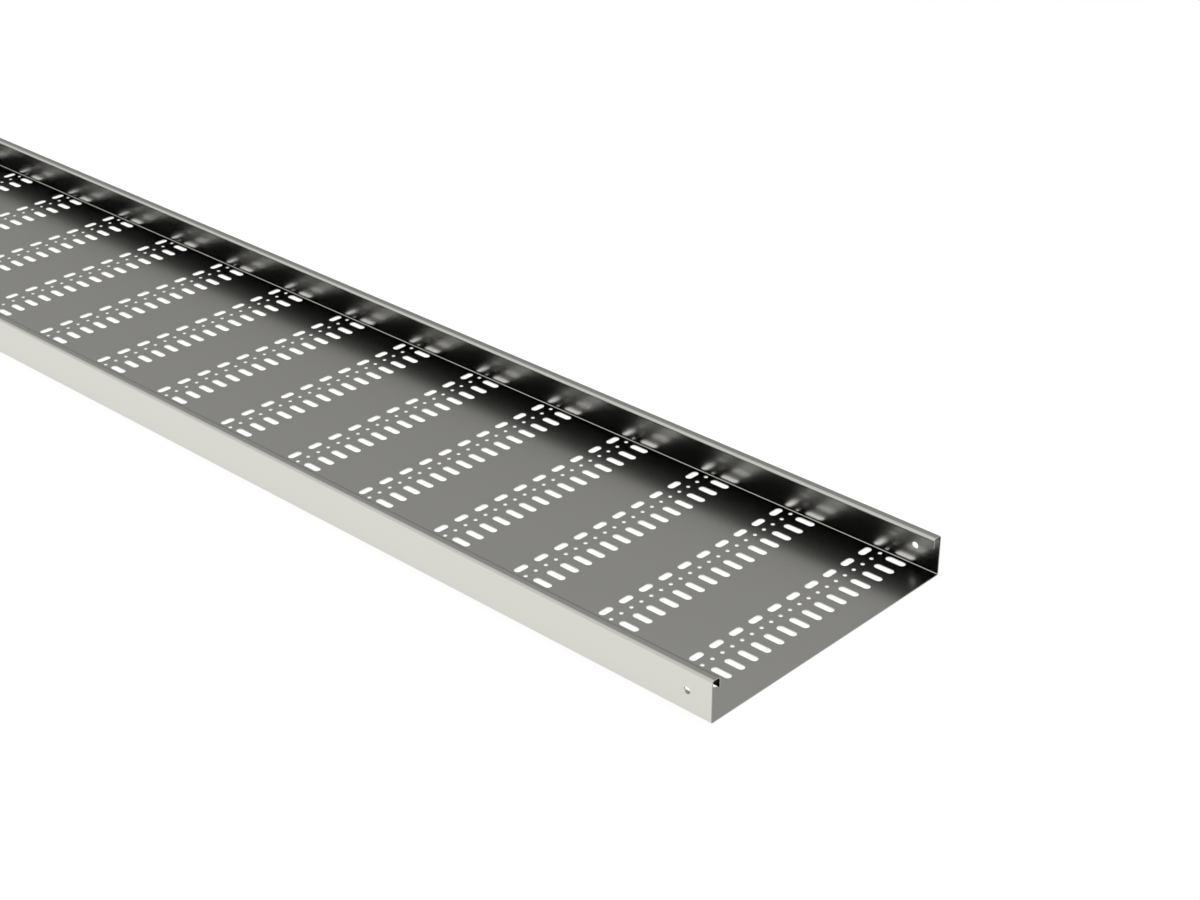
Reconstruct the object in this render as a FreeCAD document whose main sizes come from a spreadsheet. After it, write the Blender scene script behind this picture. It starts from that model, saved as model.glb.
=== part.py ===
import FreeCAD, Part
import math
import os
import Sketcher
from FreeCAD import Vector

# Perforated cable tray: one length of thin sheet folded into a channel with inturned lips.
# The tray lies on its base. Length runs along X, width along Y and height along Z, with the
# middle of the underside at the origin.

os.makedirs("parts", exist_ok=True)
doc = FreeCAD.newDocument("cable_tray")

# Sizes in millimetres, and the counts of the hole pattern
SIZES = [
    ("tray_width", "300", "outside width"),
    ("tray_height", "40", "underside of the base to the top of the lips"),
    ("sheet", "1", "sheet thickness"),
    ("base_bend", "1", "inside radius of the bends between base and walls"),
    ("lip_bend", "2", "inside radius of both bends of a lip"),
    ("lip_width", "10", "wall to lip edge, measured outside"),
    ("lip_depth", "10", "top of a lip down to its free edge"),
    ("grid", "50", "width of one square of the hole pattern"),
    ("band_pitch", "100", "length of tray that each band of holes takes"),
    ("bands", "20", "bands of holes, which set the length of the tray"),
    ("end_to_slots", "39", "tray end to the middle of the first long slots"),
    ("long_per_grid", "3", "long slots in a square"),
    ("long_slot_length", "20", "long slot, end to end"),
    ("long_slot_width", "7", "long slot, side to side"),
    ("small_per_grid", "4", "small holes in a square"),
    ("small_row_step", "18.3", "long slots to small holes, along the tray"),
    ("small_hole_size", "4", "small hole diameter"),
    ("cross_per_grid", "2", "cross slots in a square"),
    ("cross_row_step", "30", "long slots to cross slots, along the tray"),
    ("cross_slot_length", "15", "cross slot, end to end"),
    ("cross_slot_width", "7", "cross slot, side to side"),
    ("splice_inset", "25", "tray end to the middle of a splice hole"),
    ("splice_hole_size", "6.5", "splice hole diameter"),
]

sizes = doc.addObject("Spreadsheet::Sheet", "Sizes")
for row, (alias, value, note) in enumerate(SIZES, start=1):
    sizes.set("A%d" % row, alias)
    sizes.set("B%d" % row, value)
    sizes.set("C%d" % row, note)
    sizes.setAlias("B%d" % row, alias)
doc.recompute()

WIDTH = sizes.tray_width
HEIGHT = sizes.tray_height
SHEET = sizes.sheet
BASE_BEND = sizes.base_bend
LIP_BEND = sizes.lip_bend
LIP_WIDTH = sizes.lip_width
LIP_DEPTH = sizes.lip_depth

HALF_LENGTH = "Sizes.bands * Sizes.band_pitch / 2"
HALF_WIDTH = "Sizes.tray_width / 2"
# As many whole squares of the hole pattern as the base takes
SQUARES_ACROSS = "floor(Sizes.tray_width / Sizes.grid)"

UP = Vector(0, 0, 1)
QUARTER, HALF_TURN = math.pi / 2, math.pi

# How a constraint names the points of an edge, and the origin
START, FINISH, CENTRE = 1, 2, 3
ORIGIN = -1

body = doc.addObject("PartDesign::Body", "tray")
body.Label = "tray"
datums = {feature.Role: feature for feature in body.Origin.OriginFeatures}


def new_sketch(name, plane):
    """Start a sketch on one of the body's own planes."""
    sketch = body.newObject("Sketcher::SketchObject", name)
    sketch.AttachmentSupport = (datums[plane], [""])
    sketch.MapMode = "FlatFace"
    return sketch


def limit(sketch, expression, *constraint):
    """Add a sized constraint and tie it to the sheet of sizes."""
    index = sketch.addConstraint(Sketcher.Constraint(*constraint))
    sketch.setExpression("Constraints[%d]" % index, expression)


def tie(sketch, kind, *joints):
    """Join pairs of edge ends, each given as edge, end, edge, end."""
    for joint in joints:
        sketch.addConstraint(Sketcher.Constraint(kind, *joint))


def arc(centre, radius, start, sweep=QUARTER):
    """Give an arc that turns anticlockwise from its start, in radians."""
    circle = Part.Circle(Vector(*centre, 0), UP, radius)
    return Part.ArcOfCircle(circle, start, start + sweep)


def line(start, finish):
    """Give a straight edge between two points of the sketch."""
    return Part.LineSegment(Vector(*start, 0), Vector(*finish, 0))


# Half of the folded section, from the middle of the base out to the free edge of the lip
wall = WIDTH / 2
base_outer = BASE_BEND + SHEET
lip_outer = LIP_BEND + SHEET
base_end = wall - base_outer
lip_start = wall - lip_outer
lip_end = wall - LIP_WIDTH + lip_outer
lip_face = wall - LIP_WIDTH
bend_height = HEIGHT - lip_outer
free_height = HEIGHT - LIP_DEPTH

section = new_sketch("Section", "YZ_Plane")
(underside, base_turn, wall_out, lip_turn, lip_top, edge_turn, edge_out, free_edge, edge_in,
 edge_turn_in, lip_under, lip_turn_in, wall_in, base_turn_in, base_top, middle) = section.addGeometry([
    line((0, 0), (base_end, 0)),
    arc((base_end, base_outer), base_outer, -QUARTER),
    line((wall, base_outer), (wall, bend_height)),
    arc((lip_start, bend_height), lip_outer, 0),
    line((lip_start, HEIGHT), (lip_end, HEIGHT)),
    arc((lip_end, bend_height), lip_outer, QUARTER),
    line((lip_face, bend_height), (lip_face, free_height)),
    line((lip_face, free_height), (lip_face + SHEET, free_height)),
    line((lip_face + SHEET, free_height), (lip_face + SHEET, bend_height)),
    arc((lip_end, bend_height), LIP_BEND, QUARTER),
    line((lip_end, HEIGHT - SHEET), (lip_start, HEIGHT - SHEET)),
    arc((lip_start, bend_height), LIP_BEND, 0),
    line((wall - SHEET, bend_height), (wall - SHEET, base_outer)),
    arc((base_end, base_outer), BASE_BEND, -QUARTER),
    line((base_end, SHEET), (0, SHEET)),
    line((0, SHEET), (0, 0)),
])

for flat in (underside, lip_top, free_edge, lip_under, base_top):
    section.addConstraint(Sketcher.Constraint("Horizontal", flat))
for upright in (wall_out, edge_out, edge_in, wall_in, middle):
    section.addConstraint(Sketcher.Constraint("Vertical", upright))
tie(section, "Tangent",
    (underside, FINISH, base_turn, START),
    (base_turn, FINISH, wall_out, START),
    (wall_out, FINISH, lip_turn, START),
    (lip_turn, FINISH, lip_top, START),
    (lip_top, FINISH, edge_turn, START),
    (edge_turn, FINISH, edge_out, START),
    (edge_in, FINISH, edge_turn_in, FINISH),
    (edge_turn_in, START, lip_under, START),
    (lip_under, FINISH, lip_turn_in, FINISH),
    (lip_turn_in, START, wall_in, START),
    (wall_in, FINISH, base_turn_in, FINISH),
    (base_turn_in, START, base_top, START))
tie(section, "Coincident",
    (underside, START, ORIGIN, START),
    (edge_out, FINISH, free_edge, START),
    (free_edge, FINISH, edge_in, START),
    (base_top, FINISH, middle, START),
    (middle, FINISH, underside, START),
    (base_turn, CENTRE, base_turn_in, CENTRE),
    (lip_turn, CENTRE, lip_turn_in, CENTRE),
    (edge_turn, CENTRE, edge_turn_in, CENTRE))
tie(section, "Equal", (lip_turn_in, edge_turn_in))
limit(section, HALF_WIDTH, "DistanceX", ORIGIN, START, wall_out, START, wall)
limit(section, "Sizes.tray_height", "DistanceY", ORIGIN, START, lip_top, START, HEIGHT)
limit(section, "Sizes.sheet", "DistanceY", middle, FINISH, middle, START, SHEET)
limit(section, "Sizes.base_bend", "Radius", base_turn_in, BASE_BEND)
limit(section, "Sizes.lip_bend", "Radius", lip_turn_in, LIP_BEND)
limit(section, "Sizes.lip_width", "DistanceX", edge_out, FINISH, wall_out, START, LIP_WIDTH)
limit(section, "Sizes.lip_depth", "DistanceY", edge_out, FINISH, lip_top, START, LIP_DEPTH)

section.setExpression("AttachmentOffset.Base.z", HALF_LENGTH + " - Sizes.band_pitch")

half = body.newObject("PartDesign::Pad", "HalfStretch")
half.Profile = section
half.setExpression("Length", "Sizes.band_pitch")

folded = body.newObject("PartDesign::Mirrored", "FoldedStretch")
folded.Originals = [half]
folded.MirrorPlane = (datums["XZ_Plane"], [""])
body.Tip = folded
doc.recompute()


def place(per_grid, number, row_step=None):
    """Tell where one hole of a pattern square lies, in the band nearest the end."""
    along = HALF_LENGTH + " - Sizes.end_to_slots"
    if row_step:
        along += " - Sizes." + row_step
    share = "(%d + 1 / 2) / Sizes.%s" % (number, per_grid)
    across = "Sizes.grid * (%s / 2 - %s)" % (SQUARES_ACROSS, share)
    return along, across


def measure(expression):
    """Work out an expression of the sheet of sizes, in millimetres."""
    value = sizes.evalExpression(expression.replace("Sizes.", ""))
    return getattr(value, "Value", value)


def round_hole(sketch, where, diameter):
    """Sketch a round hole, its middle tied to two distances from the origin."""
    x, y, size = (measure(value) for value in (*where, diameter))
    hole = sketch.addGeometry(Part.Circle(Vector(x, y, 0), UP, size / 2))
    limit(sketch, where[0], "DistanceX", ORIGIN, START, hole, CENTRE, x)
    limit(sketch, where[1], "DistanceY", ORIGIN, START, hole, CENTRE, y)
    limit(sketch, diameter, "Diameter", hole, size)


def slot(sketch, where, length, width, across=False):
    """Sketch a round-ended slot in the base, lying along the tray or across it."""
    x, y, long_side, short_side = (measure(value) for value in (*where, length, width))
    radius, reach = short_side / 2, (long_side - short_side) / 2
    if across:
        head, foot, turn, side = Vector(x, y + reach), Vector(x, y - reach), 0, Vector(radius, 0)
    else:
        head, foot, turn, side = Vector(x + reach, y), Vector(x - reach, y), -QUARTER, Vector(0, -radius)
    far_end, left, near_end, right = sketch.addGeometry([
        arc(head[:2], radius, turn, HALF_TURN),
        line((head - side)[:2], (foot - side)[:2]),
        arc(foot[:2], radius, turn + HALF_TURN, HALF_TURN),
        line((foot + side)[:2], (head + side)[:2]),
    ])
    tie(sketch, "Tangent",
        (far_end, FINISH, left, START),
        (left, FINISH, near_end, START),
        (near_end, FINISH, right, START),
        (right, FINISH, far_end, START))
    sketch.addConstraint(Sketcher.Constraint("Vertical" if across else "Horizontal", right))
    reach_out = "(%s - %s) / 2" % (length, width)
    middle_x, middle_y = where
    end_x = middle_x if across else "%s + %s" % (middle_x, reach_out)
    end_y = "%s + %s" % (middle_y, reach_out) if across else middle_y
    limit(sketch, end_x, "DistanceX", ORIGIN, START, far_end, CENTRE, head.x)
    limit(sketch, end_y, "DistanceY", ORIGIN, START, far_end, CENTRE, head.y)
    limit(sketch, "%s - %s" % (length, width), "DistanceY" if across else "DistanceX",
          near_end, CENTRE, far_end, CENTRE, 2 * reach)
    limit(sketch, "%s / 2" % width, "Radius", far_end, radius)


# One square of the hole pattern, at the edge of the base in the band nearest the end
square = new_sketch("PatternSquare", "XY_Plane")
for number in range(int(sizes.long_per_grid)):
    slot(square, place("long_per_grid", number), "Sizes.long_slot_length", "Sizes.long_slot_width")
for number in range(int(sizes.small_per_grid)):
    round_hole(square, place("small_per_grid", number, "small_row_step"), "Sizes.small_hole_size")
for number in range(int(sizes.cross_per_grid)):
    slot(square, place("cross_per_grid", number, "cross_row_step"),
         "Sizes.cross_slot_length", "Sizes.cross_slot_width", across=True)

# The square is cut up through the base, short of the lips
punched = body.newObject("PartDesign::Pocket", "PunchedSquare")
punched.Profile = square
punched.Reversed = True
punched.setExpression("Length", "Sizes.sheet * 2")

# The square is repeated across the tray
band = body.newObject("PartDesign::LinearPattern", "Band")
band.Originals = [punched]
band.Direction = (datums["Y_Axis"], [""])
band.Reversed = True
band.setExpression("Occurrences", SQUARES_ACROSS)
band.setExpression("Length", "(%s - 1) * Sizes.grid" % SQUARES_ACROSS)
body.Tip = band
doc.recompute()

# The stretch with its band of holes is repeated into one length. Its flat faces stay one to
# a stretch, so that no single face carries every hole
stretches = body.newObject("PartDesign::LinearPattern", "Stretches")
stretches.Refine = False
stretches.TransformMode = "Whole shape"
stretches.Direction = (datums["X_Axis"], [""])
stretches.Reversed = True
stretches.setExpression("Occurrences", "Sizes.bands")
stretches.setExpression("Length", "(Sizes.bands - 1) * Sizes.band_pitch")
body.Tip = stretches

# Splice holes through the middle of both walls, near each end
splice_sketch = new_sketch("SpliceHoleSketch", "XZ_Plane")
round_hole(splice_sketch, (HALF_LENGTH + " - Sizes.splice_inset", "Sizes.tray_height / 2"),
           "Sizes.splice_hole_size")
splice_cut = body.newObject("PartDesign::Pocket", "SpliceHole")
splice_cut.Profile = splice_sketch
splice_cut.Type = "ThroughAll"
splice_cut.SideType = "Two sides"
splice_cut.Type2 = "ThroughAll"
splice_cut.Refine = False
splice_holes = body.newObject("PartDesign::Mirrored", "SpliceHoles")
splice_holes.Originals = [splice_cut]
splice_holes.MirrorPlane = (datums["YZ_Plane"], [""])
splice_holes.Refine = False
body.Tip = splice_holes

doc.recompute()

for feature in doc.Objects:
    if "Invalid" in feature.State or "Error" in feature.State:
        raise RuntimeError("%s failed to build" % feature.Label)

# What the holes take out of the folded sheet
squares = measure(SQUARES_ACROSS) * sizes.bands
slot_area = {
    "long": sizes.long_slot_width * (sizes.long_slot_length - sizes.long_slot_width)
    + math.pi * sizes.long_slot_width ** 2 / 4,
    "cross": sizes.cross_slot_width * (sizes.cross_slot_length - sizes.cross_slot_width)
    + math.pi * sizes.cross_slot_width ** 2 / 4,
    "small": math.pi * sizes.small_hole_size ** 2 / 4,
}
removed = SHEET * (
    squares * (sizes.long_per_grid * slot_area["long"] + sizes.cross_per_grid * slot_area["cross"]
               + sizes.small_per_grid * slot_area["small"])
    + math.pi * sizes.splice_hole_size ** 2)
taken = folded.Shape.Volume * sizes.bands - body.Shape.Volume
if abs(taken - removed) > SHEET:
    raise RuntimeError("the holes took out %.1f of %.1f cubic millimetres" % (taken, removed))

shape = body.Shape
if shape.isNull() or not shape.isValid() or len(shape.Solids) != 1:
    raise RuntimeError("%s is not one sound solid" % body.Label)
box = shape.BoundBox
print("%s: %.1f x %.1f x %.1f mm, %d faces, %.0f cubic mm"
      % (body.Label, box.XLength, box.YLength, box.ZLength, len(shape.Faces), shape.Volume))
shape.exportStep("parts/%s.step" % body.Label)
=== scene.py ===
"""A perforated cable tray folded from one steel sheet, with its finish and a plain studio.

X runs along the tray, Y across it and Z up, from the middle of its underside. Sizes are kept in
metres, as Blender keeps them, and worked with in millimetres.
"""

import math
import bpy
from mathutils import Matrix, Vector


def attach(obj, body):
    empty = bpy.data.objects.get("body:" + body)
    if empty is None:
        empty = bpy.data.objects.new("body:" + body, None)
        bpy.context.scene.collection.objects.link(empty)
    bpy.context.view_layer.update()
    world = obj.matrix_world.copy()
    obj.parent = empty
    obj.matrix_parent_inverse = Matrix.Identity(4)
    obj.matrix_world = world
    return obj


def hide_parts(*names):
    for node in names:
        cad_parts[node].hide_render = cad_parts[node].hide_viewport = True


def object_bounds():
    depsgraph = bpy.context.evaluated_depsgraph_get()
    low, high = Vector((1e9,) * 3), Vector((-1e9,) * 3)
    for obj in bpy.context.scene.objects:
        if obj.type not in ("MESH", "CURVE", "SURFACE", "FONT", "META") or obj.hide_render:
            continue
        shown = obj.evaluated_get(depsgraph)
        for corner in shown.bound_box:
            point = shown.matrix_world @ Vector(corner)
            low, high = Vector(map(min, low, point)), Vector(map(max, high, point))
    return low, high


bl_info = {
    "name": "Perforated Cable Tray",
    "version": (1, 0, 0),
    "blender": (4, 5, 0),
    "location": "3D View > Sidebar > Cable Tray",
    "description": "Folds and punches a cable tray, gives it its zinc finish and sets up a studio",
    "category": "Add Mesh",
}

import bpy
import numpy as np
from bpy.props import FloatProperty, FloatVectorProperty, IntProperty, PointerProperty

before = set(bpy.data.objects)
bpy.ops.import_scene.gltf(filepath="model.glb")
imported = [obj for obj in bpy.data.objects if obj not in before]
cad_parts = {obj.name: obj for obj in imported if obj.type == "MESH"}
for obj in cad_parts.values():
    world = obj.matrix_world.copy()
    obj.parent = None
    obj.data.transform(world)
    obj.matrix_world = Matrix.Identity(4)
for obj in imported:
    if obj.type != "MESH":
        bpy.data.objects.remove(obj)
CAD_LOW, CAD_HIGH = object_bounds()

# Millimetres to a metre
MM = 1000.0

# The hole pattern, in millimetres: a band of three rows of holes, repeated along the tray, on
# squares that repeat across it. The rows are stepped from the long slots, away from the end.
GRID = 50.0
BAND_PITCH = 100.0
END_TO_SLOTS = 39.0
SMALL_ROW_STEP = 18.3
CROSS_ROW_STEP = 30.0
LONG_PER_SQUARE, SMALL_PER_SQUARE, CROSS_PER_SQUARE = 3, 4, 2
SPLICE_INSET = 25.0

# How finely the sheet is drawn: columns of faces to a square, points round a slot's, a small
# hole's or a splice hole's outline, and points along a bend
COLUMNS_PER_SQUARE = 12
SLOT_POINTS, SMALL_POINTS, SPLICE_POINTS = 16, 12, 16
BEND_POINTS = 5

# Where the cell round a long slot has a station along its rounded end, as a share of its radius
ROUND_END_SHARE = 0.8

# Room round a hole, in millimetres: past the end of a long slot, at two places past a splice
# hole of the near end, past one of the far end, and the wall's levels from such a hole's middle
LONG_ROOM = 2.5
SPLICE_ROOM = (3.0, 7.5)
FAR_SPLICE_ROOM = 9.5
SPLICE_LEVELS = (-8.0, -4.0, 0.0, 4.0, 8.0)

# A face counts as the wall's when it lies less than this many sheets from the tray's outside
WALL_SHEETS = 1.5

# Points, and stations along the tray, are one when they agree to this many decimals of a
# millimetre. Sines and cosines are rounded, so that those of a right angle are exact, and a
# comparison of lengths lets this small a difference pass.
WELD_DECIMALS, STATION_DECIMALS, TURN_DECIMALS = 3, 4, 12
SAME = 1e-6

# What lies this close to a cut end, in metres, is its bare face, and how much darker and
# rougher that is
CUT_EDGE = 0.00002
CUT_DARKER, CUT_ROUGHER = 0.45, 0.6

# How much of the rolling marks shows in the colour and in the relief, how strong the mottle is
# beside them, the relief's depth in metres, and how rough the noise of both is
TINT_SHARE, RELIEF_SHARE, MOTTLE_SHARE = 0.12, 0.1, 0.5
RELIEF_DEPTH = 0.0001
NOISE_ROUGHNESS = 0.55

# How much of the floor's light is its own, and how far the floor reaches, in metres
GLOW_SHARE = 0.93
FLOOR_REACH = 40.0

# Least and greatest brightness of what the metal mirrors, and how much the way along the tray
# and the height count in it beside the way across
DIM, BRIGHT = 0.22, 0.8
LENGTH_SHARE, HEIGHT_SHARE = 0.62, 0.3

# Light that has met the metal more often than this is left out
ONE_MIRRORING = 1.5

# The lamp's length and width, and its height over the floor, in metres
LAMP_LENGTH, LAMP_WIDTH, LAMP_HEIGHT = 3.0, 1.6, 2.6

# Where the camera stands and how far it sees, in metres, how it is turned, in degrees, and its
# lens and sensor, in millimetres
CAMERA_PLACE = (1.9193, -1.2608, 1.0254)
CAMERA_REACH = 200.0
CAMERA_TURN = (61.4411, 0.0626, 42.9870)
LENS, SENSOR = 67.942, 36.0


# Sizes and colours -----------------------------------------------------------------------------

def distance(name, description, default):
    """A length that a user may change, held in metres."""
    return FloatProperty(name=name, description=description, default=default, min=0.0001,
                         precision=4, unit="LENGTH")


def share(name, description, default):
    """A number between none and all."""
    return FloatProperty(name=name, description=description, default=default, min=0.0, max=1.0,
                         subtype="FACTOR")


def tint(name, description, default):
    """A colour without transparency."""
    return FloatVectorProperty(name=name, description=description, default=default, size=3,
                               min=0.0, max=1.0, subtype="COLOR")


class TraySizes(bpy.types.PropertyGroup):
    """Sizes of the folded sheet and its holes."""
    bands: IntProperty(
        name="Bands", description="Bands of holes, 100 mm of tray to each", min=1,
        default=round((CAD_HIGH.x - CAD_LOW.x) * MM / BAND_PITCH))
    width: distance("Width", "Outside width of the tray", round(CAD_HIGH.y - CAD_LOW.y, 4))
    height: distance("Height", "Underside to the top of the lips", round(CAD_HIGH.z - CAD_LOW.z, 4))
    sheet: distance("Sheet", "Thickness of the sheet", 0.001)
    base_bend: distance("Base bend", "Inside radius between base and walls", 0.001)
    lip_bend: distance("Lip bend", "Inside radius of both bends of a lip", 0.002)
    lip_width: distance("Lip width", "Wall to lip edge, measured outside", 0.010)
    lip_depth: distance("Lip depth", "Top of a lip down to its free edge", 0.010)
    long_slot: distance("Long slot", "Long slot, end to end", 0.020)
    cross_slot: distance("Cross slot", "Cross slot, end to end", 0.015)
    slot_width: distance("Slot width", "Both kinds of slot, side to side", 0.007)
    small_hole: distance("Small hole", "Diameter of the small holes", 0.004)
    splice_hole: distance("Splice hole", "Diameter of the wall holes near the ends", 0.0065)


class TrayFinish(bpy.types.PropertyGroup):
    """Look of the zinc-coated sheet."""
    metal: tint("Zinc", "Colour of the coated sheet", (0.700, 0.694, 0.645))
    roughness: share("Roughness", "Roughness of the coated sheet", 0.26)
    streaks: share("Streaks", "Strength of the rolling marks", 0.08)


class StageLook(bpy.types.PropertyGroup):
    """Floor, surroundings and lamp."""
    floor: tint("Floor", "Colour of the floor", (0.9, 0.9, 0.9))
    level: share("Level", "Middle brightness of the surroundings in the metal", 0.76)
    rise: share("Rise", "How much they brighten to the front, to the near end and upwards", 0.54)
    lamp: FloatProperty(name="Lamp", description="Power of the lamp above", default=60.0,
                        min=0.0, unit="POWER")


# Shader maths ----------------------------------------------------------------------------------

class Wire:
    """An output socket, so that sums on it add the nodes that work them out."""

    def __init__(self, nodes, socket):
        self.nodes, self.socket = nodes, socket

    def math(self, operation, first, second):
        """Put two numbers or wires through a Math node."""
        return self.nodes.add("ShaderNodeMath", {"operation": operation}, {0: first, 1: second})

    def __add__(self, other):
        return self.math("ADD", self, other)

    def __radd__(self, other):
        return self.math("ADD", other, self)

    def __sub__(self, other):
        return self.math("SUBTRACT", self, other)

    def __rsub__(self, other):
        return self.math("SUBTRACT", other, self)

    def __mul__(self, other):
        return self.math("MULTIPLY", self, other)

    def __rmul__(self, other):
        return self.math("MULTIPLY", other, self)

    def __abs__(self):
        return self.math("ABSOLUTE", self, 0.0)

    def above(self, other):
        """One where this value is above another, and otherwise nought."""
        return self.math("GREATER_THAN", self, other)

    def bigger(self, other):
        """The larger of two values."""
        return self.math("MAXIMUM", self, other)

    def below(self, other):
        """One where this value is below another, and otherwise nought."""
        return self.math("LESS_THAN", self, other)


class Nodes:
    """The node tree of a material or of the world, emptied and ready to fill."""

    def __init__(self, tree):
        self.tree = tree
        tree.nodes.clear()

    def add(self, kind, settings=None, sockets=None, output=0):
        """Add a node: its type, its settings, and a value or wire for each socket named."""
        node = self.tree.nodes.new(kind)
        for name, value in (settings or {}).items():
            setattr(node, name, value)
        for name, value in (sockets or {}).items():
            if isinstance(value, Wire):
                self.tree.links.new(value.socket, node.inputs[name])
            else:
                node.inputs[name].default_value = value
        return Wire(self, node.outputs[output]) if node.outputs else node


# The folded sheet ------------------------------------------------------------------------------

class Sheet:
    """Four-cornered faces kept as whole arrays, every corner with its own normal."""

    def __init__(self):
        self.corners, self.normals = [], []

    def add(self, corners, normals):
        """Take faces as an array of faces, corners and coordinates."""
        self.corners.append(corners)
        self.normals.append(np.broadcast_to(normals, corners.shape))

    def grid(self, points, normals, keep=None):
        """Take the faces between neighbouring points of rows and columns."""
        normals = np.broadcast_to(normals, points.shape)
        round_face = [np.stack([a[:-1, :-1], a[1:, :-1], a[1:, 1:], a[:-1, 1:]], axis=2)
                      .reshape(-1, 4, 3) for a in (points, normals)]
        chosen = slice(None) if keep is None else keep(round_face[0].mean(axis=1))
        self.add(round_face[0][chosen], round_face[1][chosen])

    def ring(self, outer, inner, outer_normals, inner_normals):
        """Take the faces between two closed outlines with as many points, for many cells."""
        outer_normals, inner_normals = (
            np.broadcast_to(a, outer.shape) for a in (outer_normals, inner_normals))
        faces, normals = (
            np.stack([a, np.roll(a, -1, axis=1), np.roll(b, -1, axis=1), b], axis=2)
            .reshape(-1, 4, 3)
            for a, b in ((outer, inner), (outer_normals, inner_normals)))
        self.add(faces, normals)

    def mesh(self, name):
        """Weld the faces' corners, turn each face to its normals, and make the mesh."""
        corners, normals = np.concatenate(self.corners), np.concatenate(self.normals)
        facing = np.cross(corners[:, 2] - corners[:, 0], corners[:, 3] - corners[:, 1])
        inside_out = (facing * normals.sum(axis=1)).sum(axis=1) < 0
        corners[inside_out] = corners[inside_out, ::-1]
        normals[inside_out] = normals[inside_out, ::-1]
        points, index = np.unique(
            np.round(corners.reshape(-1, 3), WELD_DECIMALS), axis=0, return_inverse=True)
        mesh = bpy.data.meshes.new(name)
        mesh.from_pydata(points / MM, [], index.reshape(-1, 4))
        mesh.shade_smooth()
        if mesh.validate():
            raise RuntimeError("the folded sheet has faces that do not hold")
        mesh.normals_split_custom_set(normals.reshape(-1, 3))
        return mesh


def hole_outline(steps, radius, straight=0.0, across=False):
    """Outline of a hole, anticlockwise from its first quarter's middle.

    Point = radius * (cos t, sin t) + reach, where t steps round the circle. In a slot the reach
    is half its straight length, signed as cos t along the tray or as sin t across it, and each
    straight side gets a start, a middle and an end. Returns points and the circle's directions.
    """
    turn = 45.0 + 360.0 / steps * np.arange(steps)
    nudge = np.zeros(steps)
    if straight:
        flat = np.isclose(np.sin(np.radians(turn)) if across else np.cos(np.radians(turn)), 0.0)
        turn = np.repeat(turn, np.where(flat, 3, 1))
        nudge = np.zeros(len(turn))
        starts = np.flatnonzero(np.repeat(flat, np.where(flat, 3, 1)))[::3]
        nudge[starts], nudge[starts + 2] = -1.0, 1.0
    direction = np.stack([np.cos(np.radians(turn)), np.sin(np.radians(turn))], axis=1)
    nudged = np.radians(turn + nudge)
    sign = np.sign(np.round(np.sin(nudged) if across else np.cos(nudged), TURN_DECIMALS))
    reach = np.zeros_like(direction)
    reach[:, int(across)] = sign * straight / 2
    return radius * direction + reach, direction


def cell_outline(along, across):
    """Outline of a rectangle with given stations on its sides, from its far corner on."""
    along, across = np.asarray(along), np.asarray(across)
    whole = np.ones_like
    sides = [(along[:0:-1], across[-1] * whole(along[1:])),
             (along[0] * whole(across[1:]), across[:0:-1]),
             (along[:-1], across[0] * whole(along[1:])),
             (along[-1] * whole(across[1:]), across[:-1])]
    return np.concatenate([np.stack(side, axis=1) for side in sides])


def folded_section(width, height, sheet, base_bend, lip_bend, lip_width, lip_depth, levels):
    """Half of the section from the base's edge to the free edge of the lip.

    Every point is a bend's middle plus a radius times (cos t, sin t), the radius being the
    outer one on the outside and one sheet less on the inside. Returns outer points, inner
    points and outward directions, each as across and up.
    """
    outer, lip_outer = base_bend + sheet, lip_bend + sheet
    wall = width / 2
    quarter = np.linspace(0.0, 90.0, BEND_POINTS)
    none = np.zeros(BEND_POINTS)
    middles = np.concatenate([
        np.stack([none + wall - outer, none + outer, quarter - 90, none + outer], axis=1),
        [(wall - lip_outer, level, 0.0, lip_outer) for level in levels],
        np.stack([none + wall - lip_outer, none + height - lip_outer, quarter,
                  none + lip_outer], axis=1),
        np.stack([none + wall - lip_width + lip_outer, none + height - lip_outer,
                  quarter + 90, none + lip_outer], axis=1),
        [(wall - lip_width + lip_outer, height - lip_depth, 180.0, lip_outer)],
    ])
    turn = np.radians(middles[:, 2])
    direction = np.round(np.stack([np.cos(turn), np.sin(turn)], axis=1), TURN_DECIMALS)
    radius = middles[:, 3:]
    return (middles[:, :2] + radius * direction,
            middles[:, :2] + (radius - sheet) * direction, direction)


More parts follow.
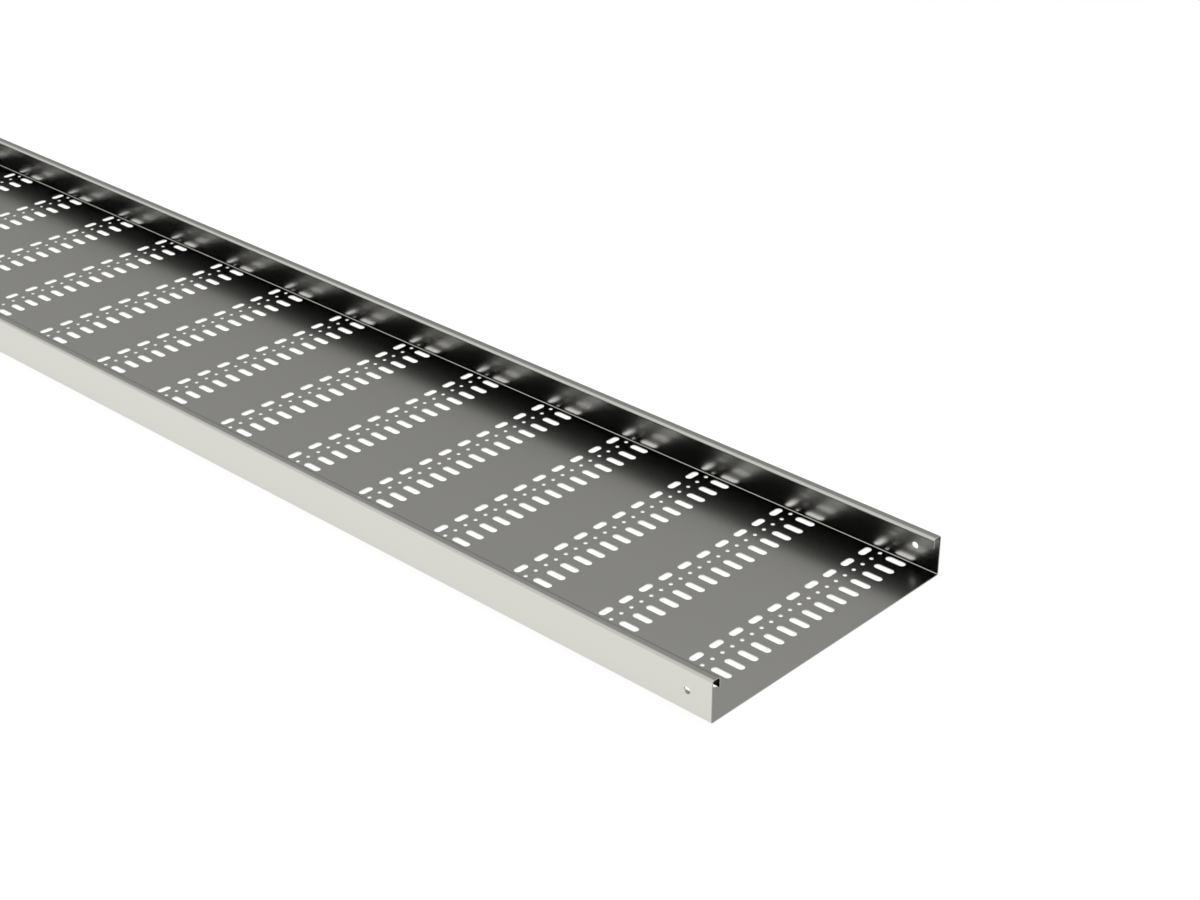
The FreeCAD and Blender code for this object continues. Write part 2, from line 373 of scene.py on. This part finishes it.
def tray_mesh(s):
    """The whole tray as one closed surface of four-cornered faces, worked out in millimetres.

    The base is flat but for its holes. Round each hole a cell of the sheet joins the hole's
    outline to a rectangle, and plain strips lie between the bands. The half section is carried
    along every station of the length, on both sides, and the ends close the sheet.
    """
    width, height, sheet = s.width * MM, s.height * MM, s.sheet * MM
    half_length = s.bands * BAND_PITCH / 2
    squares = int(width / GRID + SAME)
    column = GRID / COLUMNS_PER_SQUARE
    half_pattern = squares * GRID / 2
    slot_radius = s.slot_width * MM / 2
    long_straight, cross_straight = ((length * MM - 2 * slot_radius)
                                     for length in (s.long_slot, s.cross_slot))
    out = Sheet()

    # Stations along the tray, as steps from each row of long slots towards the near end. A
    # cell's outline has as many points as its hole's.
    long_end, small_reach = s.long_slot * MM / 2, s.small_hole * MM / 2
    after_long = -(long_end + SMALL_ROW_STEP - small_reach) / 2
    after_small = -(SMALL_ROW_STEP + small_reach + CROSS_ROW_STEP - slot_radius) / 2
    round_end = long_straight / 2 + slot_radius * ROUND_END_SHARE
    long_cell = np.array([after_long, -round_end, -long_straight / 2, 0.0,
                          long_straight / 2, round_end, long_end + LONG_ROOM])
    small_cell = np.linspace(
        after_small, after_long,
        1 + SMALL_POINTS // 2 - COLUMNS_PER_SQUARE // SMALL_PER_SQUARE)
    cross_cell = -CROSS_ROW_STEP + np.array([-2 * slot_radius, -slot_radius, 0.0, slot_radius,
                                             after_small + CROSS_ROW_STEP])
    rows = half_length - END_TO_SLOTS - BAND_PITCH * np.arange(s.bands)
    splice_x = half_length - SPLICE_INSET
    near_splice = np.r_[rows[0] + long_cell[-3:], splice_x + np.array(SPLICE_ROOM)]
    far_splice = np.r_[-splice_x - FAR_SPLICE_ROOM, rows[-1] + cross_cell[:4]]
    steps = np.unique(np.round(np.r_[long_cell, small_cell, cross_cell], STATION_DECIMALS))
    stations = np.unique(np.round(np.r_[
        (rows[:, None] + steps).ravel(), near_splice, far_splice, half_length, -half_length],
        STATION_DECIMALS))

    # Half section, with extra levels on the wall for the splice holes
    levels = height / 2 + np.array(SPLICE_LEVELS)
    outer, inner, away = folded_section(
        width, height, sheet, s.base_bend * MM, s.lip_bend * MM, s.lip_width * MM,
        s.lip_depth * MM, levels)
    flat_half = outer[0, 0]

    def splice_cells(centres):
        """Tell which faces leave room for the cells round the splice holes."""
        x, y, z = centres.T
        on_wall = ((np.abs(y) > width / 2 - WALL_SHEETS * sheet)
                   & (z > levels[0]) & (z < levels[-1]))
        at_hole = (((x > near_splice[0]) & (x < near_splice[-1]))
                   | ((x > far_splice[0]) & (x < far_splice[-1])))
        return ~(on_wall & at_hole)

    def carried(side, profile):
        """The half section's points at every station: across and up follow the profile."""
        points = np.empty((len(stations), len(profile), 3))
        points[..., 0] = stations[:, None]
        points[..., 1] = side * profile[:, 0]
        points[..., 2] = profile[:, 1]
        return points

    ring_turn, ring_away = hole_outline(SPLICE_POINTS, s.splice_hole * MM / 2)
    for side in (1, -1):
        lean = np.stack([0 * away[:, 0], side * away[:, 0], away[:, 1]], axis=1)
        out.grid(carried(side, outer), lean, splice_cells)
        out.grid(carried(side, inner), -lean, splice_cells)
        out.grid(carried(side, np.stack([outer[-1], inner[-1]])), (0.0, 0.0, -1.0))
        for end in (1, -1):
            cap = np.stack([np.c_[np.full(len(p), end * half_length), side * p[:, 0], p[:, 1]]
                            for p in (outer, inner)])
            out.grid(cap, (float(end), 0.0, 0.0))

        # Splice holes through the wall, each in its own cell of the sheet
        for middle, cell in ((splice_x, near_splice), (-splice_x, far_splice)):
            border = cell_outline(cell, levels)
            hole = ring_turn + (middle, height / 2)
            faces = [np.stack([edge[:, 0], np.full(len(edge), side * depth), edge[:, 1]], axis=1)
                     [None] for depth in (width / 2, width / 2 - sheet) for edge in (border, hole)]
            out.ring(faces[0], faces[1], (0.0, side, 0.0), (0.0, side, 0.0))
            out.ring(faces[2], faces[3], (0.0, -side, 0.0), (0.0, -side, 0.0))
            inward = -np.stack([ring_away[:, 0], 0 * ring_away[:, 0], ring_away[:, 1]],
                               axis=1)[None]
            out.ring(faces[1], faces[3], inward, inward)

    # Base: columns across, widened to the bends at both edges
    def to_bend(y):
        """Move what lies on the pattern's edge out to the foot of the bend."""
        return np.where(np.abs(y) > half_pattern - SAME, np.sign(y) * flat_half, y)

    columns = to_bend(column * np.arange(-squares * COLUMNS_PER_SQUARE // 2,
                                         squares * COLUMNS_PER_SQUARE // 2 + 1))
    punched = [(row + cross_cell[0], row + long_cell[-1]) for row in rows]

    def plain(centres):
        """Tell which faces of the base lie outside every band of holes."""
        x = centres[:, 0]
        return ~((x > np.array(punched)[:, :1]) & (x < np.array(punched)[:, 1:])).any(axis=0)

    for depth, up in ((sheet, 1.0), (0.0, -1.0)):
        points = np.empty((len(stations), len(columns), 3))
        points[..., 0], points[..., 1], points[..., 2] = stations[:, None], columns, depth
        out.grid(points, (0.0, 0.0, up), plain)
    for end in (1, -1):
        cap = np.stack([np.c_[np.full(len(columns), end * half_length), columns,
                              np.full(len(columns), depth)] for depth in (0.0, sheet)])
        out.grid(cap, (float(end), 0.0, 0.0))

    # The three kinds of hole: row step, cell along, holes in a square, outline
    kinds = (
        (0.0, long_cell, LONG_PER_SQUARE, hole_outline(SLOT_POINTS, slot_radius, long_straight)),
        (-SMALL_ROW_STEP, small_cell, SMALL_PER_SQUARE, hole_outline(SMALL_POINTS, small_reach)),
        (-CROSS_ROW_STEP, cross_cell, CROSS_PER_SQUARE,
         hole_outline(SLOT_POINTS, slot_radius, cross_straight, across=True)),
    )
    for step, along, per_square, (hole, direction) in kinds:
        pitch = GRID / per_square
        middles_y = (np.arange(squares * per_square) + 0.5) * pitch - half_pattern
        middles = np.stack(np.meshgrid(rows, middles_y, indexing="ij"), axis=-1).reshape(-1, 1, 2)
        border = middles + cell_outline(
            along, column * (np.arange(COLUMNS_PER_SQUARE // per_square + 1)
                             - COLUMNS_PER_SQUARE / per_square / 2))
        border[..., 1] = to_bend(border[..., 1])
        edge = middles + hole + (step, 0.0)
        top, bottom, top_edge, bottom_edge = (
            np.concatenate([flat, np.full(flat.shape[:2] + (1,), depth)], axis=2)
            for flat, depth in ((border, sheet), (border, 0.0), (edge, sheet), (edge, 0.0)))
        out.ring(top, top_edge, (0.0, 0.0, 1.0), (0.0, 0.0, 1.0))
        out.ring(bottom, bottom_edge, (0.0, 0.0, -1.0), (0.0, 0.0, -1.0))
        inward = -np.c_[direction, np.zeros(len(direction))]
        out.ring(top_edge, bottom_edge, inward, inward)
    return out.mesh("tray_sheet")


def zinc_finish(look, end):
    """Zinc-coated sheet: soft mirror with faint rolling marks along the tray.

    The colour is scaled by 1 + wear, and the roughness likewise, where wear is the streaks'
    strength times how far two clouds of noise, fine marks and a broad mottle, lie from their
    mean. Past the end given, in metres, lie the cut faces, which are bare: darker and rougher.
    """
    material = bpy.data.materials.new("zinc_coated_sheet")
    material.use_nodes = True
    nodes = Nodes(material.node_tree)
    place = nodes.add("ShaderNodeTexCoord", output="Object")

    def cloud(stretch, scale, detail):
        """Noise in a box that is stretched along the tray."""
        spread = nodes.add("ShaderNodeMapping", None, {"Vector": place, "Scale": stretch})
        return nodes.add("ShaderNodeTexNoise", None, {
            "Vector": spread, "Scale": scale, "Detail": detail, "Roughness": NOISE_ROUGHNESS})

    marks = cloud(stretch=(0.02, 1.0, 1.0), scale=420.0, detail=3.0)
    mottle = cloud(stretch=(0.5, 1.0, 1.0), scale=26.0, detail=2.0)
    wear = (marks - 0.5) * look.streaks + (mottle - 0.5) * (look.streaks * MOTTLE_SHARE)
    along = nodes.add("ShaderNodeSeparateXYZ", None, {0: place})
    cut = abs(along).above(end)
    colour = nodes.add("ShaderNodeVectorMath", {"operation": "SCALE"}, {
        0: tuple(look.metal), "Scale": (1.0 + wear * TINT_SHARE) * (1.0 - CUT_DARKER * cut)})
    relief = nodes.add("ShaderNodeBump", None, {
        "Height": marks, "Strength": look.streaks * RELIEF_SHARE, "Distance": RELIEF_DEPTH})
    steel = nodes.add("ShaderNodeBsdfPrincipled", {"distribution": "GGX"}, {
        "Base Color": colour, "Metallic": 1.0, "Normal": relief,
        "Roughness": look.roughness * (1.0 + wear + CUT_ROUGHER * cut)})
    nodes.add("ShaderNodeOutputMaterial", None, {"Surface": steel})
    return material


class CABLETRAY_OT_fold_sheet(bpy.types.Operator):
    """Fold and punch the tray and give it its zinc finish"""
    bl_idname = "cable_tray.fold_sheet"
    bl_label = "Folded and punched sheet"

    def execute(self, context):
        """Make the tray in its place over the frame."""
        sizes, finish = context.scene.tray_sizes, context.scene.tray_finish
        mesh = tray_mesh(sizes)
        mesh.materials.append(zinc_finish(finish, sizes.bands * BAND_PITCH / 2 / MM - CUT_EDGE))
        tray = bpy.data.objects.new("tray_folded_sheet", mesh)
        context.scene.collection.objects.link(tray)
        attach(tray, "root")
        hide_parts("tray")
        return {"FINISHED"}


# The stage -------------------------------------------------------------------------------------

def floor_finish(look):
    """White floor: it shines by itself to the eye and in the metal, and keeps a faint shadow.

    The glow ends where light has met the metal twice, so that the inner corners stay dark.
    """
    material = bpy.data.materials.new("white_floor")
    material.use_nodes = True
    nodes = Nodes(material.node_tree)
    camera_ray, glossy_ray, transmission_ray, depth = (
        nodes.add("ShaderNodeLightPath", output=name)
        for name in ("Is Camera Ray", "Is Glossy Ray", "Is Transmission Ray", "Ray Depth"))
    seen = camera_ray.bigger(glossy_ray).bigger(transmission_ray)
    matt = nodes.add("ShaderNodeBsdfDiffuse", None, {"Color": (*look.floor, 1.0)})
    glow = nodes.add("ShaderNodeEmission", None, {"Strength": depth.below(ONE_MIRRORING)})
    both = nodes.add("ShaderNodeMixShader", None, {0: seen * GLOW_SHARE, 1: matt, 2: glow})
    nodes.add("ShaderNodeOutputMaterial", None, {"Surface": both})
    return material


def surroundings(world, look):
    """White to the eye. In the metal, brighter to the front, to the near end and upwards.

    In a direction x, y, z the brightness is level + rise * (share of x + share of z - y), kept
    between dim and bright, and none for light that has met the metal twice.
    """
    world.use_nodes = True
    nodes = Nodes(world.node_tree)
    direction = nodes.add("ShaderNodeTexCoord", output="Generated")
    along, side, height = (
        nodes.add("ShaderNodeSeparateXYZ", None, {0: direction}, output=axis)
        for axis in range(3))
    mirrored = nodes.add("ShaderNodeClamp", None, {
        "Value": look.level + look.rise * (LENGTH_SHARE * along + HEIGHT_SHARE * height - side),
        "Min": DIM, "Max": BRIGHT})
    camera_ray, transmission_ray, mirrorings = (
        nodes.add("ShaderNodeLightPath", output=name)
        for name in ("Is Camera Ray", "Is Transmission Ray", "Glossy Depth"))
    seen = camera_ray.bigger(transmission_ray)
    strength = mirrored + (1.0 - mirrored) * seen
    glow = nodes.add("ShaderNodeBackground", None, {
        "Color": (1.0, 1.0, 1.0, 1.0), "Strength": strength * mirrorings.below(ONE_MIRRORING)})
    nodes.add("ShaderNodeOutputWorld", None, {"Surface": glow})
    world.cycles.sampling_method = "NONE"


class CABLETRAY_OT_stage(bpy.types.Operator):
    """Set up the floor, the surroundings, the lamp and the camera"""
    bl_idname = "cable_tray.stage"
    bl_label = "Stage"

    def execute(self, context):
        """Make the stage and look through its camera."""
        scene, look = context.scene, context.scene.stage_look
        ground = bpy.data.meshes.new("floor")
        ground.from_pydata([(x * FLOOR_REACH, y * FLOOR_REACH, 0.0)
                            for x, y in ((-1, -1), (1, -1), (1, 1), (-1, 1))], [], [(0, 1, 2, 3)])
        ground.materials.append(floor_finish(look))
        floor = bpy.data.objects.new("floor", ground)
        scene.collection.objects.link(floor)

        scene.world = bpy.data.worlds.new("studio")
        surroundings(scene.world, look)

        softbox = bpy.data.lights.new("softbox", "AREA")
        softbox.shape, softbox.size, softbox.size_y = "RECTANGLE", LAMP_LENGTH, LAMP_WIDTH
        softbox.energy = look.lamp
        lamp = bpy.data.objects.new("softbox", softbox)
        lamp.location = (0.0, 0.0, LAMP_HEIGHT)
        lamp.visible_glossy = False
        scene.collection.objects.link(lamp)

        lens = bpy.data.cameras.new("camera")
        lens.lens, lens.sensor_width = LENS, SENSOR
        lens.clip_end = CAMERA_REACH
        camera = bpy.data.objects.new("camera", lens)
        camera.location = CAMERA_PLACE
        camera.rotation_euler = [math.radians(turn) for turn in CAMERA_TURN]
        scene.collection.objects.link(camera)
        scene.camera = camera
        scene.view_settings.view_transform = "Standard"
        return {"FINISHED"}


class CABLETRAY_PT_panel(bpy.types.Panel):
    """Sizes, colours and steps of the cable tray"""
    bl_idname = "CABLETRAY_PT_panel"
    bl_label = "Cable Tray"
    bl_space_type = "VIEW_3D"
    bl_region_type = "UI"
    bl_category = "Cable Tray"

    def draw(self, context):
        """List each step under the sizes and colours that it uses."""
        for group, operator in ((context.scene.tray_sizes, None),
                                (context.scene.tray_finish, CABLETRAY_OT_fold_sheet),
                                (context.scene.stage_look, CABLETRAY_OT_stage)):
            box = self.layout.box()
            for name in group.__annotations__:
                box.prop(group, name)
            if operator:
                box.operator(operator.bl_idname)


GROUPS = {"tray_sizes": TraySizes, "tray_finish": TrayFinish, "stage_look": StageLook}
CLASSES = (*GROUPS.values(), CABLETRAY_OT_fold_sheet, CABLETRAY_OT_stage, CABLETRAY_PT_panel)


def register():
    """Make the classes known and give the scene its sizes and colours."""
    for each in CLASSES:
        bpy.utils.register_class(each)
    for name, group in GROUPS.items():
        setattr(bpy.types.Scene, name, PointerProperty(type=group))


def unregister():
    """Undo what register does, last class first."""
    for name in GROUPS:
        delattr(bpy.types.Scene, name)
    for each in reversed(CLASSES):
        bpy.utils.unregister_class(each)


def main():
    """Build the tray and its stage."""
    register()
    bpy.ops.cable_tray.fold_sheet()
    bpy.ops.cable_tray.stage()


if __name__ == "__main__":
    main()
